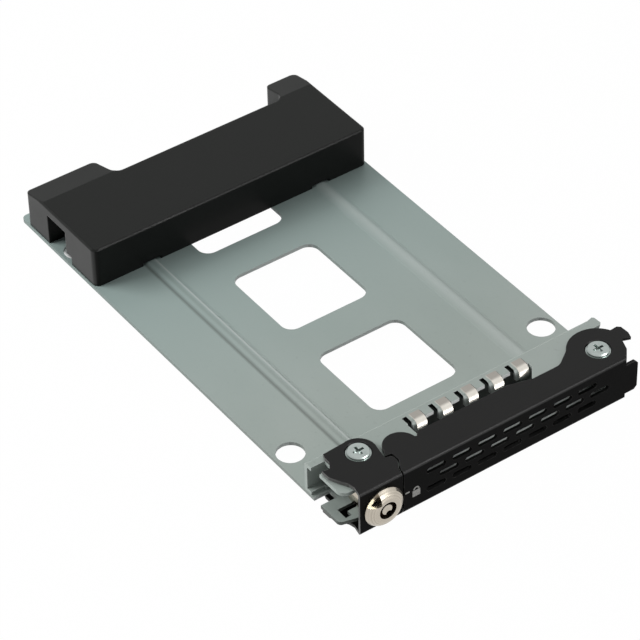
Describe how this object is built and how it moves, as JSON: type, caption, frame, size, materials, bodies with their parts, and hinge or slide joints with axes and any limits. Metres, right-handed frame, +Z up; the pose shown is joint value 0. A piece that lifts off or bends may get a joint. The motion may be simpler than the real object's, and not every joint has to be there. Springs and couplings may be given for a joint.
{
  "type": "hard drive tray",
  "caption": "Flat steel carrier plate for a small disk drive with windows, a moulded rear filler block, and a folded swing lever and key-locked latch across its front.",
  "frame": {"origin": "midway between the two front drive screw holes, on the plate's upper face", "axes": "+X to the right across the tray seen from the front, +Y from the front to the rear, +Z up out of the plate"},
  "size_m": [0.0724, 0.1193, 0.0122],
  "materials": {
    "zinc_sheet": "satin zinc-coated steel sheet",
    "black_plastic": "fine satin grain",
    "black_paint": "satin black paint on steel sheet",
    "screw_zinc": "bright zinc",
    "post_steel": "turned steel",
    "nickel": "worn nickel plate",
    "spring_steel": "plain spring steel",
    "finger_nickel": "bright nickel strip"
  },
  "bodies": {
    "tray": {"tray_plate": "zinc_sheet", "front_channel": "zinc_sheet", "rear_block": "black_plastic", "block_screw_left": "screw_zinc", "block_screw_right": "screw_zinc", "latch_post": "post_steel", "lever_post": "post_steel", "latch_screw_top": "screw_zinc", "lever_screw_top": "screw_zinc", "latch_screw_bottom": "screw_zinc", "lever_screw_bottom": "screw_zinc", "contact_finger_1": "finger_nickel", "contact_finger_2": "finger_nickel", "contact_finger_3": "finger_nickel", "contact_finger_4": "finger_nickel", "contact_finger_5": "finger_nickel"},
    "lever": {"lever": "black_paint"},
    "latch": {"latch_bracket": "black_paint", "lock_housing": "nickel", "lock_clip": "spring_steel"},
    "lock": {"lock_plug": "nickel", "lock_cam": "spring_steel"}
  },
  "joints": [
    {"name": "latch_turn", "type": "hinge", "parent": "tray", "child": "latch", "pos_m": [-0.0252, -0.0146, 0.0031], "axis": [0, 0, 1], "range_deg": [-15, 0], "stiffness_Nm_per_rad": 0.02},
    {"name": "lever_open", "type": "hinge", "parent": "tray", "child": "lever", "pos_m": [0.0297, -0.019, 0.0031], "axis": [0, 0, 1], "range_deg": [0, 50]},
    {"name": "lock_turn", "type": "hinge", "parent": "latch", "child": "lock", "pos_m": [-0.0268, -0.0215, 0.0025], "axis": [0, 1, 0], "range_deg": [0, 90]}
  ]
}
